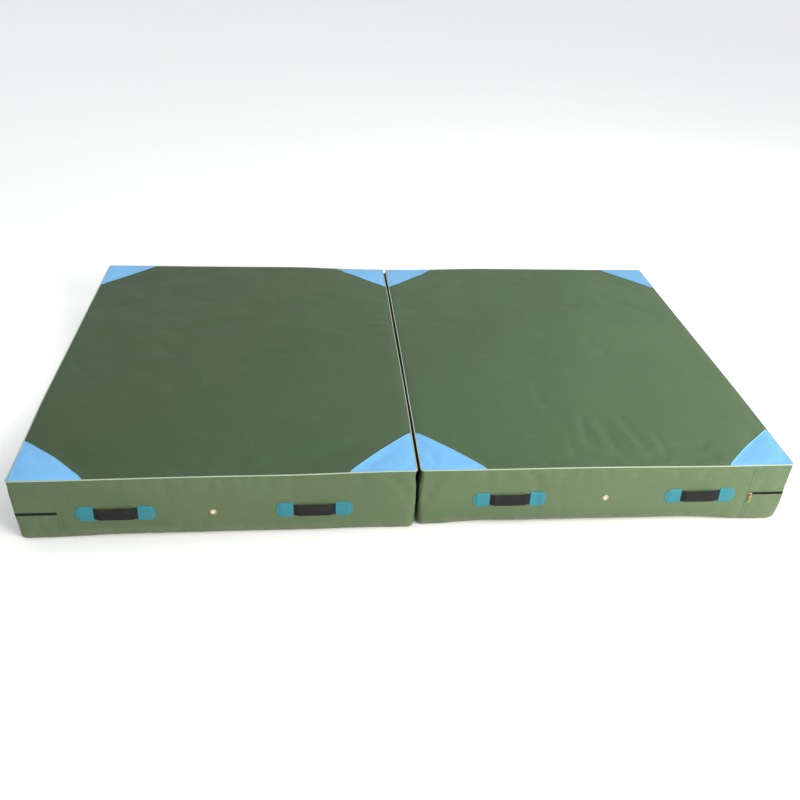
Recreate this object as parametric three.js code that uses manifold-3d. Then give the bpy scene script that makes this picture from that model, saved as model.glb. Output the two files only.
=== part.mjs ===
// A folding crash mat: two equal foam blocks in sewn covers, joined along the fold by a fabric hinge.
// Millimetres, +Z up. The origin is on the floor, at the middle of the fold line. The fold runs along Y
// and the two blocks lie to each side of it along X. The left block is the right block turned half a turn
// about Z, with its zip and handles at slightly different places, so both come from one function.

import * as THREE from 'three';
import { mergeVertices } from 'three/addons/utils/BufferGeometryUtils.js';
import Module from 'manifold-3d';

// Whole mat, laid open
const BLOCK_LENGTH = 1500; // of each block, across the fold
const MAT_DEPTH = 2000;
const MAT_HEIGHT = 300;
const FOLD_GAP = 14; // between the two blocks
const CLEARANCE = 0.3; // left between pieces that touch

// Block footprint
const OUTER_RADIUS = 12; // upright corners at the ends
const INNER_RADIUS = 12; // upright corners at the fold
const HALF_DEPTH = MAT_DEPTH / 2;
const INNER_X = FOLD_GAP / 2;
const OUTER_X = INNER_X + BLOCK_LENGTH;
const BLOCK_CENTRE_X = (OUTER_X + INNER_X) / 2;

// Cover
const COVER_THICKNESS = 1.2;
const SEAM_X = 1360; // upright seam between the side band and the end walls
const PIPING_DIAMETER = 4.8;
const PIPING_PROUD = 1.3; // how far the piping stands out past the walls and above the landing face
const PIPING_BEVEL = 1.4;
const PIPING_LOW_Z = MAT_HEIGHT + PIPING_PROUD - PIPING_DIAMETER;
const PANEL_INSET = PIPING_DIAMETER - PIPING_PROUD + CLEARANCE;
const WALL_LOW_Z = COVER_THICKNESS + CLEARANCE;
const WALL_HIGH_Z = PIPING_LOW_Z - CLEARANCE;

// Foam
const FOAM_INSET = 2.2;
const FOAM_LOW_Z = COVER_THICKNESS + CLEARANCE;
const FOAM_HIGH_Z = MAT_HEIGHT - COVER_THICKNESS - CLEARANCE;
const TOP_FOAM_THICKNESS = 40;

// Height of each block's zip and handles, which lie on one line
const FITTING_Z = { left: 119, right: 146 };

// Zip, round each outer end
const CHAIN_HEIGHT = 7;
const CHAIN_THICKNESS = 1.6;
const CHAIN_PROUD = 0.8; // how far the teeth stand out past the walls
const SLIDER_PLATE = { length: 16, thickness: 2, height: 12 };
const SLIDER_START = 2; // from the seam to the slider when the zip is shut
const BAIL = { length: 12, reach: 5.4, bar: 1.5, height: 3 }; // reach: plate face to the bar's middle
const RING = { innerRadius: 3, wireRadius: 1 };
const PULL_TAB = { width: 9, length: 34, thickness: 2, overlap: 1 };

// Corner patches
const CORNER_PATCH_LEG = 256;
const CORNER_PATCH_BOW = 13;
const CORNER_PATCH_THICKNESS = 0.8;

// Handles
// From the middle of each block to the middles of its handles, towards the fold and the outer end
const HANDLE_OFFSETS = { left: { inner: -356, outer: 391 }, right: { inner: -390, outer: 396 } };
const STRAP_WIDTH = 50;
const STRAP_THICKNESS = 2;
const STRAP_HALF_LENGTH = 132;
const STRAP_BOW = 8; // how far the strap stands off the wall
const STRAP_FREE_HALF = 86; // half of the length that isn't sewn down
const STRAP_LEVEL_HALF = 60; // half of the length that is fully bowed
const STRAP_STATIONS = 26;
const PATCH_INNER = 88; // from the handle's middle to the patch's straight edge
const PATCH_LENGTH = 43;
const PATCH_TIP = 16;
const PATCH_HEIGHT = 68;
const PATCH_TIP_HEIGHT = 26;
const PATCH_THICKNESS = 0.8;

// Vent eyelets
const EYELET = { boreRadius: 5, barrelRadius: 6, flangeRadius: 11, proud: 1.4, depth: 1.6 };
const EYELET_DROP = 3; // below the line of the handles
const EYELET_OFFSETS = { left: 30, right: 2 }; // from the middle of the block towards the outer end

// Hinge strip in the fold
const STRIP_LENGTH = 1960;
const STRIP_THICKNESS = 1.2;
const STRIP_EDGE_Z = 294;
const STRIP_DIP = 7;

const COLOURS = {
  cover: 0x647052,
  wall: 0x8a9c76,
  foam: 0xd9cfa6,
  topFoam: 0xc4b98c,
  piping: 0xd8d8cc,
  cornerPatch: 0x7ebfec,
  handlePatch: 0x3fa9c4,
  webbing: 0x2b2b2a,
  zip: 0x1d211a,
  brass: 0xb89a5e,
  hinge: 0x16181a,
};

const wasm = await Module();
wasm.setup();

function toSolid(geometry) {
  const plain = geometry.clone();
  plain.deleteAttribute('normal');
  plain.deleteAttribute('uv');
  const merged = mergeVertices(plain, 1e-4);
  return new wasm.Manifold(
    new wasm.Mesh({
      numProp: 3,
      vertProperties: new Float32Array(merged.attributes.position.array),
      triVerts: new Uint32Array(merged.index.array),
    }),
  );
}

function toGeometry(solid) {
  const mesh = solid.getMesh();
  const geometry = new THREE.BufferGeometry();
  geometry.setAttribute('position', new THREE.BufferAttribute(mesh.vertProperties, 3));
  geometry.setIndex(new THREE.BufferAttribute(mesh.triVerts, 1));
  geometry.computeVertexNormals();
  return geometry;
}

function material(colour, roughness = 0.85, metalness = 0) {
  return new THREE.MeshStandardMaterial({ color: colour, roughness, metalness });
}

function piece(name, geometry, surface) {
  const mesh = new THREE.Mesh(geometry, surface);
  mesh.name = name;
  return mesh;
}

// A flat shape in XY made into a slab between two heights.
function slab(shape, lowZ, highZ, curveSegments = 6) {
  const options = { depth: highZ - lowZ, bevelEnabled: false, curveSegments };
  return new THREE.ExtrudeGeometry(shape, options).translate(0, 0, lowZ);
}

// The right block's footprint, drawn in by an inset.
function footprint(inset) {
  const near = INNER_X + inset;
  const far = OUTER_X - inset;
  const half = HALF_DEPTH - inset;
  const nearRadius = INNER_RADIUS - inset;
  const farRadius = OUTER_RADIUS - inset;
  const shape = new THREE.Shape();
  shape.moveTo(near + nearRadius, -half);
  shape.lineTo(far - farRadius, -half);
  shape.absarc(far - farRadius, farRadius - half, farRadius, -Math.PI / 2, 0);
  shape.absarc(far - farRadius, half - farRadius, farRadius, 0, Math.PI / 2);
  shape.absarc(near + nearRadius, half - nearRadius, nearRadius, Math.PI / 2, Math.PI);
  shape.absarc(near + nearRadius, nearRadius - half, nearRadius, Math.PI, 1.5 * Math.PI);
  return shape;
}

// A wall of even thickness with the plan of a U: open at openX, closed with round corners at closedX,
// which is the greater of the two.
function uWall(openX, closedX, half, radius, thickness) {
  const centreX = closedX - radius;
  const centreY = half - radius;
  const innerRadius = radius - thickness;
  const shape = new THREE.Shape();
  shape.moveTo(openX, -half);
  shape.absarc(centreX, -centreY, radius, -Math.PI / 2, 0);
  shape.absarc(centreX, centreY, radius, 0, Math.PI / 2);
  shape.lineTo(openX, half);
  shape.lineTo(openX, half - thickness);
  shape.absarc(centreX, centreY, innerRadius, Math.PI / 2, 0, true);
  shape.absarc(centreX, -centreY, innerRadius, 0, -Math.PI / 2, true);
  shape.lineTo(openX, thickness - half);
  return shape;
}

function endWall(lowZ, highZ) {
  const openX = SEAM_X + CLEARANCE / 2;
  return slab(uWall(openX, OUTER_X, HALF_DEPTH, OUTER_RADIUS, COVER_THICKNESS), lowZ, highZ);
}

// Front, fold and back walls in one, with a hole for each eyelet's barrel. It is drawn with its closed
// side towards +X and turned half a turn when it is placed.
function sideBand(eyeletX, eyeletZ) {
  const openX = -(SEAM_X - CLEARANCE / 2);
  const plan = uWall(openX, -INNER_X, HALF_DEPTH, INNER_RADIUS, COVER_THICKNESS);
  const drill = new THREE.CylinderGeometry(
    EYELET.barrelRadius + CLEARANCE, EYELET.barrelRadius + CLEARANCE, MAT_DEPTH + 10, 24,
  );
  drill.translate(-eyeletX, 0, eyeletZ);
  return toGeometry(toSolid(slab(plan, WALL_LOW_Z, WALL_HIGH_Z)).subtract(toSolid(drill)));
}

// The welt round the top edge, a ring with a rounded section.
function piping() {
  const outer = PIPING_BEVEL - PIPING_PROUD;
  const inner = PIPING_DIAMETER - PIPING_PROUD - PIPING_BEVEL;
  const shape = footprint(outer);
  shape.holes.push(footprint(inner));
  const options = {
    depth: PIPING_DIAMETER - 2 * PIPING_BEVEL,
    bevelEnabled: true,
    bevelThickness: PIPING_BEVEL,
    bevelSize: PIPING_BEVEL,
    bevelSegments: 2,
    curveSegments: 6,
  };
  return new THREE.ExtrudeGeometry(shape, options).translate(0, 0, PIPING_LOW_Z + PIPING_BEVEL);
}

function zipChain(fittingZ) {
  const openX = SEAM_X + CLEARANCE;
  const radius = OUTER_RADIUS + CHAIN_PROUD;
  const plan = uWall(openX, OUTER_X + CHAIN_PROUD, HALF_DEPTH + CHAIN_PROUD, radius, CHAIN_THICKNESS);
  return slab(plan, fittingZ - CHAIN_HEIGHT / 2, fittingZ + CHAIN_HEIGHT / 2);
}

// The slider's outer plate and its bail, centred on the bail's bar, facing -Y.
function zipSlider() {
  const { length, thickness, height } = SLIDER_PLATE;
  const plate = new THREE.BoxGeometry(length, thickness, height);
  plate.translate(0, BAIL.reach + thickness / 2, 0);
  const halfBail = BAIL.length / 2;
  const loop = new THREE.Shape();
  loop.moveTo(-halfBail, -BAIL.bar / 2);
  loop.lineTo(halfBail, -BAIL.bar / 2);
  loop.lineTo(halfBail, BAIL.reach + thickness / 2);
  loop.lineTo(halfBail - BAIL.bar, BAIL.reach + thickness / 2);
  loop.lineTo(halfBail - BAIL.bar, BAIL.bar / 2);
  loop.lineTo(BAIL.bar - halfBail, BAIL.bar / 2);
  loop.lineTo(BAIL.bar - halfBail, BAIL.reach + thickness / 2);
  loop.lineTo(-halfBail, BAIL.reach + thickness / 2);
  const bail = slab(loop, -BAIL.height / 2, BAIL.height / 2);
  return toGeometry(toSolid(plate).add(toSolid(bail)));
}

// A wire ring round the bail's bar with a flat tab hanging from it.
function zipPull() {
  const { innerRadius, wireRadius } = RING;
  const ringRadius = innerRadius + wireRadius;
  const ringZ = BAIL.height / 2 + CLEARANCE - innerRadius;
  const ring = new THREE.TorusGeometry(ringRadius, wireRadius, 8, 24);
  ring.rotateY(Math.PI / 2).translate(0, 0, ringZ);
  const topZ = ringZ - ringRadius + PULL_TAB.overlap - wireRadius;
  const corner = PULL_TAB.width / 2;
  const outline = new THREE.Shape();
  outline.moveTo(-corner / 2, 0);
  outline.lineTo(-corner, -corner);
  outline.lineTo(-corner, corner - PULL_TAB.length);
  outline.absarc(0, corner - PULL_TAB.length, corner, Math.PI, 2 * Math.PI);
  outline.lineTo(corner, -corner);
  outline.lineTo(corner / 2, 0);
  const options = { depth: PULL_TAB.thickness, bevelEnabled: false, curveSegments: 8 };
  const tab = new THREE.ExtrudeGeometry(outline, options);
  tab.translate(0, 0, -PULL_TAB.thickness / 2).rotateX(Math.PI / 2).translate(0, 0, topZ);
  return toGeometry(toSolid(ring).add(toSolid(tab)));
}

// A triangle in one corner of the landing face, drawn for the corner at (0, 0) with its legs along +X
// and +Y. The corner is rounded and the long side bows out towards the middle of the face.
function cornerPatch(radius) {
  const control = CORNER_PATCH_LEG / 2 + CORNER_PATCH_BOW;
  const shape = new THREE.Shape();
  shape.moveTo(radius, 0);
  shape.lineTo(CORNER_PATCH_LEG, 0);
  shape.quadraticCurveTo(control, control, 0, CORNER_PATCH_LEG);
  shape.absarc(radius, radius, radius, Math.PI, 1.5 * Math.PI);
  return slab(shape, 0, CORNER_PATCH_THICKNESS);
}

// How far the strap's inner face stands off its sewn ends, x from the handle's middle.
function strapRise(x) {
  const ramp = STRAP_FREE_HALF - STRAP_LEVEL_HALF;
  const run = THREE.MathUtils.clamp((STRAP_FREE_HALF - Math.abs(x)) / ramp, 0, 1);
  return (STRAP_BOW * (1 - Math.cos(Math.PI * run))) / 2;
}

// A webbing strap bowed out from the wall, with the wall's face at y = 0 and outwards towards -Y.
function handleStrap() {
  const inner = [];
  const outer = [];
  for (let i = 0; i <= STRAP_STATIONS; i += 1) {
    const x = STRAP_HALF_LENGTH * ((2 * i) / STRAP_STATIONS - 1);
    const y = -CLEARANCE - strapRise(x);
    inner.push(new THREE.Vector2(x, y));
    outer.push(new THREE.Vector2(x, y - STRAP_THICKNESS));
  }
  const shape = new THREE.Shape(inner.concat(outer.reverse()));
  return slab(shape, -STRAP_WIDTH / 2, STRAP_WIDTH / 2);
}

// A house-shaped patch: its straight edge is at x = 0, its tip points along X to the side that along
// gives, 1 or -1, and its back is at y = 0 with its face towards -Y.
function handlePatch(along) {
  const half = PATCH_HEIGHT / 2;
  const shoulder = along * PATCH_LENGTH;
  const tip = along * (PATCH_LENGTH + PATCH_TIP);
  const shape = new THREE.Shape();
  shape.moveTo(0, -half);
  shape.lineTo(shoulder, -half);
  shape.lineTo(tip, -PATCH_TIP_HEIGHT / 2);
  shape.lineTo(tip, PATCH_TIP_HEIGHT / 2);
  shape.lineTo(shoulder, half);
  shape.lineTo(0, half);
  return slab(shape, 0, PATCH_THICKNESS).rotateX(Math.PI / 2);
}

// An eyelet, with the wall's face at y = 0 and its flange towards +Y.
function eyelet() {
  const { boreRadius, barrelRadius, flangeRadius, proud, depth } = EYELET;
  const profile = [
    [boreRadius, -depth],
    [barrelRadius, -depth],
    [barrelRadius, CLEARANCE],
    [flangeRadius, CLEARANCE],
    [flangeRadius - proud / 2, CLEARANCE + proud],
    [boreRadius, CLEARANCE + proud],
    [boreRadius, -depth],
  ];
  return new THREE.LatheGeometry(profile.map(([r, y]) => new THREE.Vector2(r, y)), 24);
}

// The fabric hinge, a shallow trough that hangs between the two blocks just under the piping.
function hingeStrip() {
  const edgeX = INNER_X - CLEARANCE;
  const shape = new THREE.Shape();
  shape.moveTo(-edgeX, 0);
  shape.quadraticCurveTo(0, -2 * STRIP_DIP, edgeX, 0);
  shape.lineTo(edgeX, STRIP_THICKNESS);
  shape.quadraticCurveTo(0, STRIP_THICKNESS - 2 * STRIP_DIP, -edgeX, STRIP_THICKNESS);
  const options = { depth: STRIP_LENGTH, bevelEnabled: false, curveSegments: 10 };
  const strip = new THREE.ExtrudeGeometry(shape, options);
  return strip.translate(0, 0, -STRIP_LENGTH / 2).rotateX(Math.PI / 2).translate(0, 0, STRIP_EDGE_Z);
}

// One handle on a wall whose face is at y = 0, outwards towards -Y: the strap and its two end patches.
function buildHandle(prefix) {
  const handle = new THREE.Group();
  handle.add(piece(`${prefix}_handle_strap`, handleStrap(), material(COLOURS.webbing, 0.9)));
  for (const [end, along] of [['a', -1], ['b', 1]]) {
    const name = `${prefix}_handle_patch_${end}`;
    const patch = piece(name, handlePatch(along), material(COLOURS.handlePatch, 0.6));
    patch.position.set(along * PATCH_INNER, -(2 * CLEARANCE + STRAP_THICKNESS), 0);
    handle.add(patch);
  }
  return handle;
}

// What one long wall carries: two handles and an eyelet, at the given places. side is -1 for the wall
// towards -Y in the block's own frame and 1 for the other.
function dressWall(block, prefix, side, places) {
  for (const [place, offset] of Object.entries(places.handleOffsets)) {
    const handle = buildHandle(`${prefix}_${place}`);
    handle.position.set(BLOCK_CENTRE_X + offset, side * HALF_DEPTH, places.fittingZ);
    handle.rotation.z = side < 0 ? 0 : Math.PI;
    block.add(handle);
  }
  const vent = piece(`${prefix}_eyelet`, eyelet(), material(COLOURS.brass, 0.35, 0.9));
  vent.position.set(places.eyeletX, side * HALF_DEPTH, places.eyeletZ);
  vent.rotation.z = side < 0 ? Math.PI : 0;
  block.add(vent);
}

// The zip round the outer end, with its slider shut against the seam on the wall towards -Y.
function addZip(block, prefix, fittingZ) {
  const brass = material(COLOURS.brass, 0.35, 0.9);
  const barX = SEAM_X + CLEARANCE + SLIDER_START + SLIDER_PLATE.length / 2;
  const plateBack = HALF_DEPTH + CHAIN_PROUD + CLEARANCE;
  const barY = -(plateBack + SLIDER_PLATE.thickness + BAIL.reach);
  block.add(piece(`${prefix}_zipper_chain`, zipChain(fittingZ), material(COLOURS.zip, 0.7)));
  for (const [name, geometry] of [['zipper_slider', zipSlider()], ['zipper_pull', zipPull()]]) {
    const part = piece(`${prefix}_${name}`, geometry, brass);
    part.position.set(barX, barY, fittingZ);
    block.add(part);
  }
}

function addCornerPatches(block, prefix, wallName) {
  const half = HALF_DEPTH - PANEL_INSET;
  const near = INNER_X + PANEL_INSET;
  const far = OUTER_X - PANEL_INSET;
  const nearRadius = INNER_RADIUS - PANEL_INSET;
  const farRadius = OUTER_RADIUS - PANEL_INSET;
  const corners = [
    { name: `${wallName(-1)}_inner`, x: near, y: -half, radius: nearRadius, quarterTurns: 0 },
    { name: `${wallName(-1)}_outer`, x: far, y: -half, radius: farRadius, quarterTurns: 1 },
    { name: `${wallName(1)}_outer`, x: far, y: half, radius: farRadius, quarterTurns: 2 },
    { name: `${wallName(1)}_inner`, x: near, y: half, radius: nearRadius, quarterTurns: 3 },
  ];
  for (const { name, x, y, radius, quarterTurns } of corners) {
    const surface = material(COLOURS.cornerPatch, 0.6);
    const patch = piece(`${prefix}_corner_patch_${name}`, cornerPatch(radius), surface);
    patch.position.set(x, y, MAT_HEIGHT + CLEARANCE);
    patch.rotation.z = (quarterTurns * Math.PI) / 2;
    block.add(patch);
  }
}

// One block. facing is 1 for the right block and -1 for the left, which is turned half a turn, so that
// its wall towards -Y becomes the mat's back wall.
function buildBlock(prefix, facing) {
  const block = new THREE.Group();
  block.rotation.z = facing > 0 ? 0 : Math.PI;
  const fittingZ = FITTING_Z[prefix];
  const handleOffsets = HANDLE_OFFSETS[prefix];
  const eyeletX = BLOCK_CENTRE_X + EYELET_OFFSETS[prefix];
  const eyeletZ = fittingZ - EYELET_DROP;
  const wallName = (side) => (side * facing < 0 ? 'front' : 'back');
  const coreTop = FOAM_HIGH_Z - TOP_FOAM_THICKNESS;
  const panelLow = MAT_HEIGHT - COVER_THICKNESS;
  const cover = material(COLOURS.cover);
  const wall = material(COLOURS.wall);
  const zipTop = fittingZ + CHAIN_HEIGHT / 2 + CLEARANCE;
  const zipBottom = fittingZ - CHAIN_HEIGHT / 2 - CLEARANCE;
  const core = slab(footprint(FOAM_INSET), FOAM_LOW_Z, coreTop - CLEARANCE);
  const topFoam = slab(footprint(PANEL_INSET), coreTop, FOAM_HIGH_Z);
  block.add(piece(`${prefix}_foam_core`, core, material(COLOURS.foam, 0.95)));
  block.add(piece(`${prefix}_foam_top_layer`, topFoam, material(COLOURS.topFoam, 0.95)));
  block.add(piece(`${prefix}_top_panel`, slab(footprint(PANEL_INSET), panelLow, MAT_HEIGHT), cover));
  block.add(piece(`${prefix}_bottom_panel`, slab(footprint(0), 0, COVER_THICKNESS), cover));
  block.add(piece(`${prefix}_end_wall_upper`, endWall(zipTop, WALL_HIGH_Z), wall));
  block.add(piece(`${prefix}_end_wall_lower`, endWall(WALL_LOW_Z, zipBottom), wall));
  block.add(piece(`${prefix}_edge_piping`, piping(), material(COLOURS.piping, 0.6)));
  const band = piece(`${prefix}_side_band`, sideBand(eyeletX, eyeletZ), wall);
  band.rotation.z = Math.PI;
  block.add(band);
  addZip(block, prefix, fittingZ);
  addCornerPatches(block, prefix, wallName);
  for (const side of [-1, 1]) {
    dressWall(block, `${prefix}_${wallName(side)}`, side, { fittingZ, handleOffsets, eyeletX, eyeletZ });
  }
  return block;
}

const mat = new THREE.Group();
mat.add(buildBlock('left', -1));
mat.add(buildBlock('right', 1));
mat.add(piece('hinge_strip', hingeStrip(), material(COLOURS.hinge, 0.8)));

export default mat;
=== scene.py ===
"""A folding crash mat, laid open: two foam blocks in sewn covers of coated canvas, with piping, zips,
webbing handles and coloured patches, joined by a black fabric hinge. Metres, in the CAD's frame.

Each block is made in the right block's place. The left block is the same design turned half a turn
about Z, with its own creases."""
import math

import bpy
import numpy as np
from mathutils import Matrix, Vector, noise
from mathutils.bvhtree import BVHTree


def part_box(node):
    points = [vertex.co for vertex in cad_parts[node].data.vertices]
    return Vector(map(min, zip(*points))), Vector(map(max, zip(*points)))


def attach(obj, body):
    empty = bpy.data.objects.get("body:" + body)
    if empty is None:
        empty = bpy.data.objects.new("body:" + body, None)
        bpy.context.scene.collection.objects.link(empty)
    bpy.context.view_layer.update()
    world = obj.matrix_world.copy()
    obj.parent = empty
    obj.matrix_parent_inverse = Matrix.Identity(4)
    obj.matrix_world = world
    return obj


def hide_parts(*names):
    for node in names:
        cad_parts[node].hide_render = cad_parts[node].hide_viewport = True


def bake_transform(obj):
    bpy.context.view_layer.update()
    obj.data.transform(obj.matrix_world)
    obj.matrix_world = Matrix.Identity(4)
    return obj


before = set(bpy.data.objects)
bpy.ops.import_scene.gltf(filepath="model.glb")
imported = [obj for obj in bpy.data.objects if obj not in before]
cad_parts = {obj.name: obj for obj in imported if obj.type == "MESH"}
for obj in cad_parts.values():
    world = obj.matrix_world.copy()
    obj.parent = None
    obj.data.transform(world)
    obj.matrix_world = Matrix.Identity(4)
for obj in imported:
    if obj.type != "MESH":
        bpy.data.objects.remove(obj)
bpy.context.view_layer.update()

# ---------------------------------------------------------------- sizes, from the frame where it has them
base_low, base_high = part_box("right_bottom_panel")
NEAR_X, FAR_X, HALF_Y = base_low.x, base_high.x, base_high.y
SEAM_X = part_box("right_side_band")[1].x
piping_low, piping_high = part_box("right_edge_piping")
PIPING_RADIUS = (piping_high.z - piping_low.z) / 2
EDGE_Z = piping_high.z - PIPING_RADIUS  # where panel, wall and piping are sewn together

TOP_RADII = (0.012, 0.012)  # upright corners under the piping, at the fold and at the outer end
FOOT_RADII = (0.025, 0.036)  # the same corners at the floor, where the cover pulls round the foam
CLOTH = 0.001  # thickness of the coated canvas
EDGE_INSET = PIPING_RADIUS - (piping_high.x - FAR_X)  # from the footprint to the seam under the piping
FLOOR_GAP = 0.0004  # from the floor to the cover

# The cover's walls are a closed grid of columns round the block and rows from the top seam down.
COLUMN_STEP = 0.0125
CORNER_STEPS = (6, 8)
UPPER_ROWS, LOWER_ROWS, FOOT_ROWS = 14, 6, 6
ZIP_HALF_GAP = 0.0060  # from the zip's middle to the edges of the walls above and below it
PANEL_STEP = 0.015  # between the landing face's points

BLOCKS = {"right": 1, "left": -1}  # the sign that turns a block's X and Y into the mat's


def block_box(block, node):
    """A node's lowest and highest corners, in the right block's place."""
    low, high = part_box(f"{block}_{node}")
    if BLOCKS[block] > 0:
        return low, high
    return Vector((-high.x, -high.y, low.z)), Vector((-low.x, -low.y, high.z))


def middle(block, node):
    low, high = block_box(block, node)
    return (low + high) / 2


def wall_name(block, side):
    """The CAD's name for the long wall towards -Y, side -1, or towards +Y, side 1, in the block's frame."""
    return "front" if side * BLOCKS[block] < 0 else "back"


def smooth(low, high, x):
    """0 below low, 1 above high and smooth between; low may be the greater."""
    t = np.clip((np.asarray(x, float) - low) / (high - low), 0, 1)
    return t * t * (3 - 2 * t)


def ripple(points, scale, seed):
    """Smooth noise from -1 to 1 at each point."""
    offset = Vector((seed * 7.3, seed * 3.1, seed * 5.7))
    return np.array([noise.noise(Vector(p) * scale + offset) for p in np.asarray(points).tolist()])


# ---------------------------------------------------------------- meshes
def make_object(name, data):
    obj = bpy.data.objects.new(name, data)
    bpy.context.scene.collection.objects.link(obj)
    return obj


def make_piece(name, points, faces):
    """A smooth-shaded object from an array or list of points and one of faces."""
    mesh = bpy.data.meshes.new(name)
    mesh.from_pydata(np.asarray(points).tolist(), [], faces if isinstance(faces, list) else faces.tolist())
    mesh.polygons.foreach_set("use_smooth", [True] * len(mesh.polygons))
    mesh.update()
    return make_object(name, mesh)


def grid_faces(rows, columns, closed_columns=False, closed_rows=False):
    """Quads of a grid whose points run row by row."""
    r, c = np.meshgrid(
        np.arange(rows if closed_rows else rows - 1),
        np.arange(columns if closed_columns else columns - 1),
        indexing="ij",
    )
    below, beside = (r + 1) % rows, (c + 1) % columns
    corners = [r * columns + c, r * columns + beside, below * columns + beside, below * columns + c]
    return np.stack(corners, -1).reshape(-1, 4)


def grid_piece(name, grid, closed_columns=False, closed_rows=False):
    """A sheet through a grid of points, which is an array of rows by columns by 3."""
    rows, columns, _ = grid.shape
    return make_piece(name, grid.reshape(-1, 3), grid_faces(rows, columns, closed_columns, closed_rows))


def coordinates(mesh):
    flat = np.zeros(len(mesh.vertices) * 3, np.float32)
    mesh.vertices.foreach_get("co", flat)
    return flat.reshape(-1, 3).astype(float)


def evaluated(obj):
    return obj.evaluated_get(bpy.context.evaluated_depsgraph_get())


def refine(obj):
    """Swaps obj's mesh for its smooth subdivision."""
    modifier = obj.modifiers.new("refine", "SUBSURF")
    modifier.levels = modifier.render_levels = 1
    mesh = bpy.data.meshes.new_from_object(evaluated(obj))
    obj.modifiers.clear()
    obj.data = mesh


def thicken(obj, thickness=CLOTH, offset=-1.0):
    modifier = obj.modifiers.new("thickness", "SOLIDIFY")
    modifier.thickness = thickness
    modifier.offset = offset


def bevel(obj, width, segments):
    modifier = obj.modifiers.new("edges", "BEVEL")
    modifier.width = width
    modifier.segments = segments
    modifier.limit_method = "ANGLE"
    return modifier


# ---------------------------------------------------------------- the block's outline and its cover's grid
def outline(inset, radii):
    """The footprint's columns, with their outward directions: from the front seam to the fold, along the
    fold, along the back, round the outer end and back to the seam. radii are those of the corners at the
    fold and at the outer end, and inset may be one number or one for each column."""
    near, far = radii
    runs = [
        ("line", (SEAM_X, -HALF_Y), (NEAR_X + near, -HALF_Y), (0, -1)),
        ("arc", (NEAR_X + near, near - HALF_Y), near, -90, -180),
        ("line", (NEAR_X, near - HALF_Y), (NEAR_X, HALF_Y - near), (-1, 0)),
        ("arc", (NEAR_X + near, HALF_Y - near), near, 180, 90),
        ("line", (NEAR_X + near, HALF_Y), (SEAM_X, HALF_Y), (0, 1)),
        ("line", (SEAM_X, HALF_Y), (FAR_X - far, HALF_Y), (0, 1)),
        ("arc", (FAR_X - far, HALF_Y - far), far, 90, 0),
        ("line", (FAR_X, HALF_Y - far), (FAR_X, far - HALF_Y), (1, 0)),
        ("arc", (FAR_X - far, far - HALF_Y), far, 0, -90),
        ("line", (FAR_X - far, -HALF_Y), (SEAM_X, -HALF_Y), (0, -1)),
    ]
    points, outwards, seams = [], [], []
    for number, (kind, start, *rest) in enumerate(runs):
        if number in (0, 5):
            seams.append(len(points))
        if kind == "line":
            end, direction = rest
            steps = LINE_STEPS[number]
            for t in np.arange(steps) / steps:
                points.append((start[0] + t * (end[0] - start[0]), start[1] + t * (end[1] - start[1])))
                outwards.append(direction)
        else:
            radius, first, last = rest
            steps = CORNER_STEPS[0] if number < 5 else CORNER_STEPS[1]
            for angle in np.radians(first + (last - first) * np.arange(steps) / steps):
                points.append((start[0] + radius * math.cos(angle), start[1] + radius * math.sin(angle)))
                outwards.append((math.cos(angle), math.sin(angle)))
    points, outwards = np.array(points), np.array(outwards)
    return points - outwards * np.reshape(inset, (-1, 1)), outwards, seams


def steps_for(length):
    return max(2, round(length / COLUMN_STEP))


LINE_STEPS = {
    0: steps_for(SEAM_X - NEAR_X),
    2: steps_for(2 * HALF_Y),
    4: steps_for(SEAM_X - NEAR_X),
    5: steps_for(FAR_X - SEAM_X),
    7: steps_for(2 * HALF_Y),
    9: steps_for(FAR_X - SEAM_X),
}
SEAM_COLUMNS = outline(0, TOP_RADII)[2]
COLUMNS = len(outline(0, TOP_RADII)[0])


# The mat is soft and lies a little out of true.
FRONT_SAG = {"right": (0.010, 0.006), "left": (0.021, 0.021)}  # of the front's top edge, midway and outside
FRONT_LEAN = 0.009  # how far the same edge leans out at its outer end
END_SKEW = {"right": (0.011, -0.010), "left": (0.012, -0.003)}  # how far out each end lies, at front and back
FOOT_DRAW = {"right": 0.022, "left": 0.009}  # how far the foot is set back at the fold's corners
LEAN_BAND = (0.17, 0.01)  # the heights between which the foot's set-back grows from none to all of it
TOP_HOLD = 0.17  # the height above which the walls follow the top edge
EDGE_WANDER = 0.0022  # of the sewn top edge, sideways
EDGE_DROP = 0.0012  # how far the same edge lies below its true line, and how much that varies
CORNER_DROP = 0.0115  # how much lower it is at the fold's two ends
FOLD_DRAW = 0.004  # how far the walls at the fold are drawn in just below the piping
FOLD_DRAW_REST = 0.25  # the share of that draw that is left further down


def end_skew(points, block):
    """How far points near the outer end lie out from square along X."""
    front, back = END_SKEW[block]
    along = (1 + BLOCKS[block] * points[:, 1] / HALF_Y) / 2
    return smooth(SEAM_X, FAR_X, points[:, 0]) * (front + along * (back - front))


def edge_drift(points, block, seed):
    """How far the sewn top edge wanders from its true line: sideways and down, most near the fold."""
    flat = np.column_stack([points, np.zeros(len(points))])
    sideways = EDGE_WANDER * np.stack([ripple(flat, 1.7, seed + 11), ripple(flat, 1.7, seed + 12)], -1)
    fold_share = 1 - smooth(0.05, 0.55, points[:, 0])
    end_share = smooth(0.55, 1.0, np.abs(points[:, 1]))
    down = EDGE_DROP + EDGE_DROP * ripple(flat, 2.3, seed + 13) + CORNER_DROP * fold_share * end_share
    front_share = smooth(0.4, 0.95, -BLOCKS[block] * points[:, 1])
    midway, at_end = FRONT_SAG[block]
    down += front_share * (1 - fold_share) * (midway + (at_end - midway) * smooth(1.1, 1.5, points[:, 0]))
    sideways[:, 1] -= BLOCKS[block] * FRONT_LEAN * front_share * smooth(0.7, 1.45, points[:, 0])
    return np.column_stack([sideways, -down])


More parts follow.
